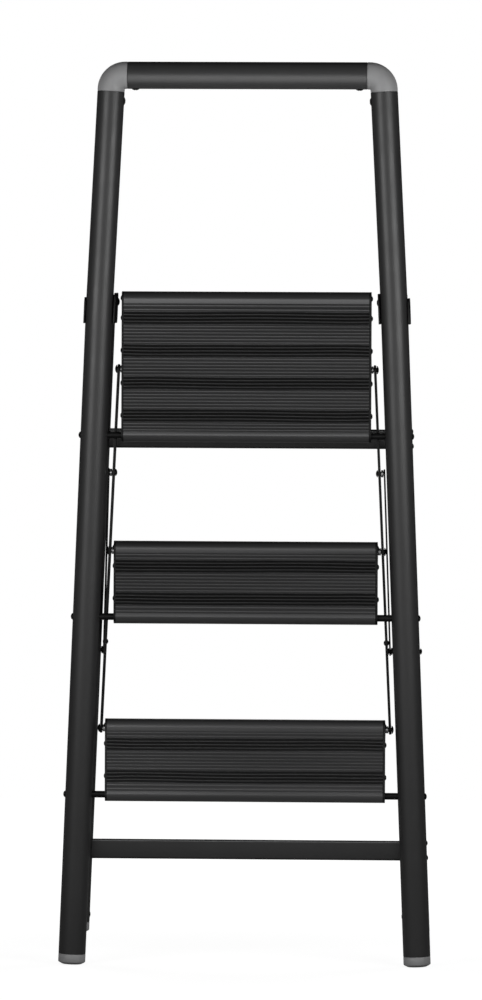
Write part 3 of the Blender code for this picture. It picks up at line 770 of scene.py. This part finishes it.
def nosing_front():
    """Front quarter of a nosing's section, drawn out a little along the deck, from the deck outwards."""
    points = []
    steps = 14
    for step in range(steps + 1):
        angle = math.pi / 2 * step / steps
        reach = (NOSING_RADIUS + NOSING_DRAW) * math.sin(angle) - NOSING_DRAW
        points.append((-NOSING_RADIUS * math.cos(angle), reach))
    return points


def tread_outline(tread):
    """Section of a tread: reeded deck, two nosings, and a webbed foot with a screw port under each strip."""
    span = tread_span(tread)
    under = -NOSING_RADIUS + DECK_THICKNESS
    boss = -NOSING_RADIUS + STRIP_DEPTH + DECK_THICKNESS
    meet = math.degrees(math.acos(-under / NOSING_RADIUS))
    outline = reeded_face(tread)
    outline += [(y, span + z) for y, z in nosing_front()]
    outline += arc((0, span), NOSING_RADIUS, 90, -180 + meet, 24)[1:]
    half_boss, half_web, half_foot = STRIP_WIDTH / 2 + 0.0015, 0.0009, 0.0045
    foot_top = NOSING_RADIUS - 0.0018
    for centre in reversed(strip_centres(tread)):
        one_side = [
            (under, half_boss),
            (boss, half_boss - 0.0020),
            (boss, half_web),
            (PORT_Y - 0.0028, half_web),
            (PORT_Y - 0.0013, 0.0030),
            (PORT_Y + 0.0013, 0.0030),
            (PORT_Y + 0.0028, half_web),
            (foot_top, half_web),
            (foot_top, half_foot),
            (NOSING_RADIUS, half_foot),
        ]
        outline += [(y, centre + z) for y, z in one_side]
        outline += [(y, centre - z) for y, z in reversed(one_side)]
    outline += arc((0, 0), NOSING_RADIUS, 180 - meet, -90, 24)[:-1]
    outline += [(y, -z) for y, z in reversed(nosing_front())]
    return [(FRONT_Y + y, TREAD_Z[tread] + z) for y, z in outline]


def tread_deck(tread):
    """Extrusion from end to end, with a bore through each nosing."""
    node = f"{tread}_deck"
    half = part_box(node)[1].x
    deck = plate(f"{node}_extrusion", tread_outline(tread), lambda z: -half, lambda z: half)
    through = (0, half + 0.01, FRONT_Y)
    bores = [
        drill(*through, TREAD_Z[tread], ROD_RADIUS + GAP),
        drill(*through, TREAD_Z[tread] + tread_span(tread), NOSING_BORE),
    ]
    stand_for(smooth(carve(deck, bores), 28), node)


def strip_section():
    """Section of a grip strip as (depth from the walking face, across): its ridges, then its back."""
    crest, lip, valley, bottom = -0.0002, 0.0009, 0.0019, STRIP_DEPTH - GAP
    half = STRIP_WIDTH / 2 - GAP
    steps = 8
    ridges = [(lip, -half + 0.0002), (valley, -half + 0.0014)]
    for ridge in (-1, 0, 1):
        centre = ridge * STRIP_RIDGE_PITCH
        for step in range(steps + 1):
            across = 2 * step / steps - 1
            ridges.append((crest + 0.0003 * across ** 2, centre + 0.0010 * across))
        if ridge < 1:
            ridges.append((valley, centre + STRIP_RIDGE_PITCH / 2))
    ridges += [(valley, half - 0.0014), (lip, half - 0.0002)]
    back = [(lip, half), (bottom, half), (bottom, -half), (lip, -half)]
    return ridges, back


def grip_strip(tread, number, centre):
    """Rubber strip whose ridges wander a little, as pressed-in rubber does."""
    node = f"{tread}_grip_strip_{number}"
    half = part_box(node)[1].x
    ridges, back = strip_section()
    face_y, middle_z = FRONT_Y - NOSING_RADIUS, TREAD_Z[tread] + centre
    phase = 1.7 * number + 0.9 * len(tread)
    shape = bmesh.new()
    rings = []
    steps = 72
    for step in range(steps + 1):
        x = half * (2 * step / steps - 1)
        ease = min(1, (half - abs(x)) / 0.03)
        wave = math.sin(14.0 * x + phase) + 0.5 * math.sin(31.0 * x + 2.3 * phase)
        shift = 0.00045 * ease * wave
        ring = [(depth, across + shift) for depth, across in ridges] + back
        places = [(x, face_y + depth, middle_z + across) for depth, across in ring]
        rings.append([shape.verts.new(place) for place in places])
    shape.faces.new(rings[0])
    shape.faces.new(rings[-1])
    for first, second in zip(rings, rings[1:]):
        bridge(shape, first, second)
    stand_for(smooth(mesh_object(f"{node}_rubber", shape), 40), node)


def end_plate(tread, hand, side):
    """Closes a tread's end, with an ear that carries the link pin."""
    node = f"{tread}_end_plate_{hand}"
    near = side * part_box(f"{tread}_deck")[1].x
    far = side * span_x(node, side)[1]
    base = TREAD_Z[tread]
    span = tread_span(tread)
    back = FRONT_Y + NOSING_RADIUS
    ear = (LINK_TOP.y, base + LINK_RISE)
    outline = arc((FRONT_Y, base), NOSING_RADIUS, 180, 360, 24)
    outline.append((back, base + LINK_RISE - 0.0260))
    outline += arc(ear, 0.0085, -30, 60, 12)
    if span > LINK_RISE + 0.0300:
        outline.append((back, base + LINK_RISE + 0.0180))
        outline += arc((FRONT_Y, base + span), NOSING_RADIUS, 0, 180, 24)
    else:
        outline += arc((FRONT_Y, base + span), NOSING_RADIUS, 60, 180, 16)
    sheet = plate(f"{node}_sheet", outline, lambda z: near, lambda z: far, bevel=0.0004)
    holes = [
        drill(near, 0.01, FRONT_Y, base, ROD_RADIUS + GAP),
        drill(near, 0.01, *ear, LINK_PIN_HOLE),
    ]
    stand_for(smooth(carve(sheet, holes), 30), node)


def link_pin(tread, hand, side):
    """Rivet through a tread's ear, spacer and link bar, with its domed head outside."""
    node = f"{tread}_link_pin_{hand}"
    near, far = span_x(node, side)
    outer = far - LINK_PIN_HEAD[1]
    profile = [(near, 0.0034), (near + 0.0012, 0.0036), (near + 0.0012, LINK_PIN_RADIUS)]
    profile += [(outer, LINK_PIN_RADIUS)] + dome(outer, *LINK_PIN_HEAD)
    pin = turned_outwards(f"{node}_rivet", profile, side, LINK_TOP.y, TREAD_Z[tread] + LINK_RISE)
    stand_for(smooth(pin), node)


def spacer(node):
    """Turned spacer ring with broken edges."""
    low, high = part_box(node)
    path = [(Vector((x, LINK_TOP.y, middle(node).z)), X_AXIS) for x in (low.x, high.x)]
    ring = tube(f"{node}_ring", path, SPACER_RADIUS, LINK_PIN_HOLE, 0.0004, PIN_SIDES)
    stand_for(smooth(ring), node)


def build_tread(tread):
    tread_deck(tread)
    for number, centre in enumerate(strip_centres(tread), 1):
        grip_strip(tread, number, centre)
    for hand, side in SIDES.items():
        end_plate(tread, hand, side)
        link_pin(tread, hand, side)
        spacer(f"{tread}_link_spacer_{hand}")
        end_screws(tread, hand, side)


# ---- linkage ---------------------------------------------------------------------------
def strap(name, ends, width, thickness, side, centre_x, bevel):
    """Flat bar with round ends, from its lower to its upper point of (y, z). It leans as centre_x says."""
    def near(z):
        return side * (centre_x(z) - thickness / 2)

    def far(z):
        return side * (centre_x(z) + thickness / 2)

    bottom, top = ends
    lean = math.degrees(math.atan2(top[1] - bottom[1], top[0] - bottom[0]))
    outline = arc(top, width / 2, lean - 90, lean + 90, 14)
    outline += arc(bottom, width / 2, lean + 90, lean + 270, 14)
    return plate(name, outline, near, far, bevel)


def pin_holes(places, side, centre_x):
    """Cutters for a strap's holes, at places of (y, z)."""
    return [drill(side * centre_x(z), 0.01, y, z, LINK_PIN_HOLE) for y, z in places]


def link_bar(hand, side):
    """Flat bar with rounded edges, and its stop stud on both faces."""
    node = f"link_bar_{hand}"
    pins = [(LINK_TOP.y, z + LINK_RISE) for z in TREAD_Z.values()]
    ends = (pins[0], pins[-1])
    bar = strap(f"{node}_strap", ends, LINK_WIDTH, LINK_THICKNESS, side, link_x, bevel=0.0004)
    head = dome(LINK_THICKNESS / 2 - 0.0002, *STUD_HEAD)
    profile = [(-along, radius) for along, radius in reversed(head)] + head
    stud = turned("stud", profile, Vector((side * link_x(STUD_Z), LINK_TOP.y, STUD_Z)), X_AXIS)
    carve(bar, [stud], "UNION")
    carve(bar, pin_holes(pins + [(LINK_TOP.y, SPREADER_TOP_Z)], side, link_x))
    stand_for(smooth(bar, 30), node)


def spreader_link(hand, side):
    """Thin strut from a link bar down to the rear leg."""
    node = f"spreader_link_{hand}"
    ends = ((SPREADER_FOOT.y, SPREADER_FOOT.z), (LINK_TOP.y, SPREADER_TOP_Z))
    width, thickness = SPREADER_WIDTH, SPREADER_THICKNESS
    strut = strap(f"{node}_strut", ends, width, thickness, side, spreader_x, bevel=0.0003)
    carve(strut, pin_holes(ends[::-1], side, spreader_x))
    stand_for(smooth(strut, 30), node)


def inner_head(end, radius, height):
    """Stations of a domed head that points to the centre plane, up to its rim at end."""
    return [(-x, away) for x, away in reversed(dome(-end, radius, height))]


def spreader_top_pin(hand, side):
    """Rivet through a spreader link, spacer and link bar, with its domed head inside."""
    node = f"spreader_top_pin_{hand}"
    near, far = span_x(node, side)
    inner = near + SPREADER_TOP_HEAD[1]
    profile = inner_head(inner, *SPREADER_TOP_HEAD) + [(inner, LINK_PIN_RADIUS), (far, LINK_PIN_RADIUS)]
    pin = turned_outwards(f"{node}_rivet", profile, side, LINK_TOP.y, SPREADER_TOP_Z)
    stand_for(smooth(pin), node)


def spreader_foot_pin(hand, side):
    """Shouldered bolt: inner head, strut, shoulder, rear leg, outer head."""
    node = f"spreader_foot_pin_{hand}"
    near, far = span_x(node, side)
    z = SPREADER_FOOT.z
    strut_in, leg_out = near + SPREADER_FOOT_HEAD[1], far - ROD_HEAD[1]
    strut_out = spreader_x(z) + SPREADER_THICKNESS / 2 + 1.5 * GAP
    leg_in = rear_x(z) - TUBE_RADIUS - 2 * GAP
    profile = inner_head(strut_in, *SPREADER_FOOT_HEAD)
    profile += [(strut_in, LINK_PIN_RADIUS), (strut_out, LINK_PIN_RADIUS)]
    profile += [(strut_out, SPACER_RADIUS), (leg_in, SPACER_RADIUS), (leg_in, LINK_PIN_RADIUS)]
    profile += [(leg_out, LINK_PIN_RADIUS)] + dome(leg_out, *ROD_HEAD)
    bolt = turned_outwards(f"{node}_bolt", profile, side, HINGE.y, z)
    stand_for(smooth(bolt), node)


# ---- small fasteners -------------------------------------------------------------------
def screw_mesh(name, radius, height, recess):
    """Domed head on a short shank, at the origin along +Z. A recess is a cross."""
    profile = [(-0.003, radius * 0.5), (0, radius * 0.5)] + dome(0, radius, height, 8)
    screw = turned(name, profile, Vector((0, 0, 0)), Z_AXIS)
    if recess:
        size = Matrix.Diagonal((radius * 1.1, radius * 0.24, height * 1.1, 1))
        lift = Matrix.Translation((0, 0, height))
        for turn in (0, 90):
            slot_shape = bmesh.new()
            bmesh.ops.create_cube(slot_shape, size=1)
            slot_shape.transform(lift @ Matrix.Rotation(math.radians(turn), 4, "Z") @ size)
            carve(screw, [mesh_object("slot", slot_shape)])
    smooth(screw)
    mesh = screw.data
    bpy.data.objects.remove(screw)
    return mesh


def set_screw(name, mesh, place, axis, body, spin=0.0):
    """One screw: a copy of the mesh, turned so that its head points along axis."""
    data = mesh.copy()
    turn = axis.to_track_quat("Z", "Y").to_matrix().to_4x4()
    data.transform(Matrix.Translation(place) @ turn @ Matrix.Rotation(spin, 4, "Z"))
    obj = bpy.data.objects.new(name, data)
    bpy.context.scene.collection.objects.link(obj)
    add_piece(obj, body, "black_steel")


def end_screws(tread, hand, side):
    """Domed screws through an end plate: one into the open nosing and one into each strip's port."""
    face = side * span_x(f"{tread}_end_plate_{hand}", side)[1]
    spots = [(0, tread_span(tread))] + [(PORT_Y, centre) for centre in strip_centres(tread)]
    for number, (y, up) in enumerate(spots, 1):
        place = Vector((face, FRONT_Y + y, TREAD_Z[tread] + up))
        name = f"{tread}_end_screw_{hand}_{number}"
        set_screw(name, END_SCREW, place, side * X_AXIS, tread, 0.7 * number)


def elbow_screws(hand, side):
    """One screw under the rail and one on the leg's inner side hold each elbow."""
    corner = rail_corner(side)
    reach = elbow_reach() + ELBOW_COLLAR
    depth = TUBE_RADIUS - SCREW_SINK
    along_rail = corner - X_AXIS * side * (reach + 0.0105) - Z_AXIS * depth
    set_screw(f"elbow_screw_rail_{hand}", ELBOW_SCREW, along_rail, -Z_AXIS, "front_frame")
    inwards = Vector((-side, 0, -RAIL_SLOPE)).normalized()
    down_leg = corner - rail_up(side) * (reach + 0.0125) + inwards * depth
    set_screw(f"elbow_screw_leg_{hand}", ELBOW_SCREW, down_leg, inwards, "front_frame")


def rear_frame_fasteners(hand, side):
    """A screw through each rear foot's plug, and two rivets into each end of each crossbar."""
    inwards = Vector((-side, 0, -LEG_SLOPE)).normalized()
    depth = TUBE_RADIUS - SCREW_SINK
    foot_z = sole("rear_sole_right").z + 0.024
    place = Vector((side * rear_x(foot_z), HINGE.y, foot_z)) + inwards * depth
    set_screw(f"rear_foot_screw_{hand}", FOOT_SCREW, place, inwards, "rear_frame", 0.4)
    for label in ("lower", "upper"):
        middle_z = middle(f"rear_crossbar_{label}").z
        heights = (middle_z - CROSSBAR_RIVET_RISE, middle_z + CROSSBAR_RIVET_RISE)
        for number, z in enumerate(heights, 1):
            place = Vector((side * rear_x(z), HINGE.y, z)) - inwards * depth
            name = f"crossbar_rivet_{label}_{hand}_{number}"
            set_screw(name, CROSSBAR_RIVET, place, -inwards, "rear_frame")


# ---- assembly --------------------------------------------------------------------------
END_SCREW = screw_mesh("end_screw", 0.0036, 0.0020, recess=True)
ELBOW_SCREW = screw_mesh("elbow_screw", 0.0050, 0.0022, recess=True)
FOOT_SCREW = screw_mesh("foot_screw", 0.0040, 0.0012, recess=True)
CROSSBAR_RIVET = screw_mesh("crossbar_rivet", 0.0034, 0.0018, recess=False)

grab_rail()
for hand_name, side_sign in SIDES.items():
    front_leg(hand_name, side_sign)
    corner_elbow(hand_name, side_sign)
    foot("front", hand_name, side_sign)
    hinge_bracket(hand_name, side_sign)
    hinge_pin(hand_name, side_sign)
    elbow_screws(hand_name, side_sign)
    rear_leg(hand_name, side_sign)
    foot("rear", hand_name, side_sign)
    spreader_foot_pin(hand_name, side_sign)
    rear_frame_fasteners(hand_name, side_sign)
    link_bar(hand_name, side_sign)
    spreader_top_pin(hand_name, side_sign)
    spacer(f"spreader_top_spacer_{hand_name}")
    spreader_link(hand_name, side_sign)
for bar_label in ("lower", "upper"):
    crossbar(bar_label)
for tread_name in TREAD_Z:
    pivot_rod(tread_name)
    build_tread(tread_name)


# ---- studio ----------------------------------------------------------------------------
def add_camera():
    """Long lens in front and a little to the right, at chest height."""
    data = bpy.data.cameras.new("camera")
    data.sensor_fit = "VERTICAL"
    data.sensor_height = 36
    data.lens = CAMERA_LENS
    camera = bpy.data.objects.new("camera", data)
    bpy.context.scene.collection.objects.link(camera)
    away = Vector((
        math.sin(CAMERA_AZIMUTH) * math.cos(CAMERA_ELEVATION),
        -math.cos(CAMERA_AZIMUTH) * math.cos(CAMERA_ELEVATION),
        math.sin(CAMERA_ELEVATION),
    ))
    look = (-away).to_track_quat("-Z", "Y").to_matrix().to_4x4()
    place = Matrix.Translation(CAMERA_TARGET + away * CAMERA_DISTANCE)
    camera.matrix_world = place @ look @ Matrix.Rotation(CAMERA_ROLL, 4, "Z")
    bpy.context.scene.camera = camera


def softbox(name, place, target, width, height, radiance):
    """A rectangular lamp. Its power follows from how bright its face is."""
    data = bpy.data.lights.new(name, "AREA")
    data.shape = "RECTANGLE"
    data.size = width
    data.size_y = height
    data.energy = radiance * math.pi * width * height
    light = bpy.data.objects.new(name, data)
    bpy.context.scene.collection.objects.link(light)
    light.location = place
    light.rotation_euler = (Vector(target) - Vector(place)).to_track_quat("-Z", "Y").to_euler()
    light.visible_camera = False
    return light


def lit_by(light, beginnings, but=False):
    """Only the pieces whose names begin so take this lamp's light, or all but them."""
    group = bpy.data.collections.new(light.name + "_receivers")
    for piece in bpy.data.objects:
        if piece.type == "MESH" and piece.name.startswith(beginnings) != but:
            group.objects.link(piece)
    light.light_linking.receiver_collection = group


def add_lights():
    """Keys and fills in front, then lamps for the rail, the legs and the crossbars, then the back's."""
    for name, receivers, height, radiance, fill in TREAD_LIGHTS:
        target = (0, 0, height)
        left = softbox(f"{name}_key_left", (-1.16, -1.60, height), target, 1.10, 0.45, radiance)
        right = softbox(f"{name}_key_right", (1.08, -1.20, height), target, 1.05, 0.40, radiance)
        front = softbox(f"{name}_fill", (0.05, -1.50, 0.68), (0, 0, 0.68), 1.0, 0.70, fill)
        for light in (left, right, front):
            lit_by(light, receivers or OWN_LIGHTS, but=not receivers)
    rail_light = softbox("rail_fill", (0.05, -0.84, 0.70), (0, 0, 1.185), 1.4, 0.86, RAIL_RADIANCE)
    lit_by(rail_light, ("grab_rail",))
    leg_light = softbox("leg_fill", (0.05, -1.50, 0.98), (0, 0, 0.98), 1.0, 0.50, LEG_RADIANCE)
    lit_by(leg_light, ("front_leg", "rear_leg"))
    for name, place, height, radiance in BAR_LIGHTS:
        lit_by(softbox(name, place, (0, 0, 0.15), 1.2, height, radiance), ("rear_crossbar",))
    for hand, side in SIDES.items():
        place = (side * 1.5, 1.5, 1.1)
        behind = softbox(f"rear_fill_{hand}", place, (0, 0, 0.6), 1.2, 1.2, REAR_RADIANCE)
        behind.visible_glossy = False
        lit_by(behind, ("rear_crossbar",), but=True)
    rear_light = softbox("rear_tread_light", (0, 1.9, 1.1), (0, 0, 0.6), 1.8, 1.4, REAR_TREAD_RADIANCE)
    lit_by(rear_light, ("platform", "middle_step", "lower_step"))


def light_path_mix(tree, others, camera):
    """One shader for camera rays and another for the rest."""
    mix = tree.nodes.new("ShaderNodeMixShader")
    path = tree.nodes.new("ShaderNodeLightPath")
    tree.links.new(path.outputs["Is Camera Ray"], mix.inputs["Fac"])
    tree.links.new(others, mix.inputs[1])
    tree.links.new(camera, mix.inputs[2])
    return mix.outputs["Shader"]


def smooth_step(tree, value, across, levels):
    """A smooth step between two levels, as the value goes across an interval."""
    ramp = tree.nodes.new("ShaderNodeMapRange")
    ramp.interpolation_type = "SMOOTHSTEP"
    ramp.inputs["From Min"].default_value, ramp.inputs["From Max"].default_value = across
    ramp.inputs["To Min"].default_value, ramp.inputs["To Max"].default_value = levels
    tree.links.new(value, ramp.inputs["Value"])
    return ramp.outputs["Result"]


def add_world():
    """White to the camera. In reflections it is a dim room, lightest in front and low down."""
    world = bpy.data.worlds.new("studio")
    bpy.context.scene.world = world
    world.use_nodes = True
    tree = world.node_tree
    tree.nodes.clear()
    output = tree.nodes.new("ShaderNodeOutputWorld")
    white = tree.nodes.new("ShaderNodeBackground")
    white.inputs["Color"].default_value = (1, 1, 1, 1)
    room = tree.nodes.new("ShaderNodeBackground")
    room.inputs["Color"].default_value = (1, 1, 1, 1)
    coordinates = tree.nodes.new("ShaderNodeTexCoord")
    split = tree.nodes.new("ShaderNodeSeparateXYZ")
    tree.links.new(coordinates.outputs["Generated"], split.inputs["Vector"])
    steps = [smooth_step(tree, split.outputs[axis], across, levels) for axis, across, levels in ROOM_STEPS]
    level = steps[0]
    for step in steps[1:]:
        times = tree.nodes.new("ShaderNodeMath")
        times.operation = "MULTIPLY"
        tree.links.new(level, times.inputs[0])
        tree.links.new(step, times.inputs[1])
        level = times.outputs["Value"]
    tree.links.new(level, room.inputs["Strength"])
    seen = light_path_mix(tree, room.outputs["Background"], white.outputs["Background"])
    tree.links.new(seen, output.inputs["Surface"])


def add_floor():
    """Pale paper floor that fades out into the white around it. It shows only a faint shadow."""
    shape = bmesh.new()
    bmesh.ops.create_circle(shape, cap_ends=True, segments=64, radius=3.0)
    floor = mesh_object("floor", shape)
    made = Nodes("floor_paper", (0.30, 0.30, 0.30), 0.9, Specular_IOR_Level=0.1)
    made.roughen(made.noise(60, 3), 0.85, 0.95)
    length = made.tree.nodes.new("ShaderNodeVectorMath")
    length.operation = "LENGTH"
    made.link(made.place, length.inputs[0])
    strength = smooth_step(made.tree, length.outputs["Value"], (0.3, 1.6), (0.88, 1.0))
    glow = made.tree.nodes.new("ShaderNodeEmission")
    made.link(strength, glow.inputs["Strength"])
    both = made.tree.nodes.new("ShaderNodeAddShader")
    made.link(made.shader.outputs["BSDF"], both.inputs[0])
    made.link(glow.outputs["Emission"], both.inputs[1])
    seen = light_path_mix(made.tree, made.shader.outputs["BSDF"], both.outputs["Shader"])
    made.link(seen, made.tree.nodes["Material Output"].inputs["Surface"])
    floor.data.materials.append(made.material)


add_camera()
add_world()
add_floor()
add_lights()
bpy.context.scene.view_settings.view_transform = "Standard"
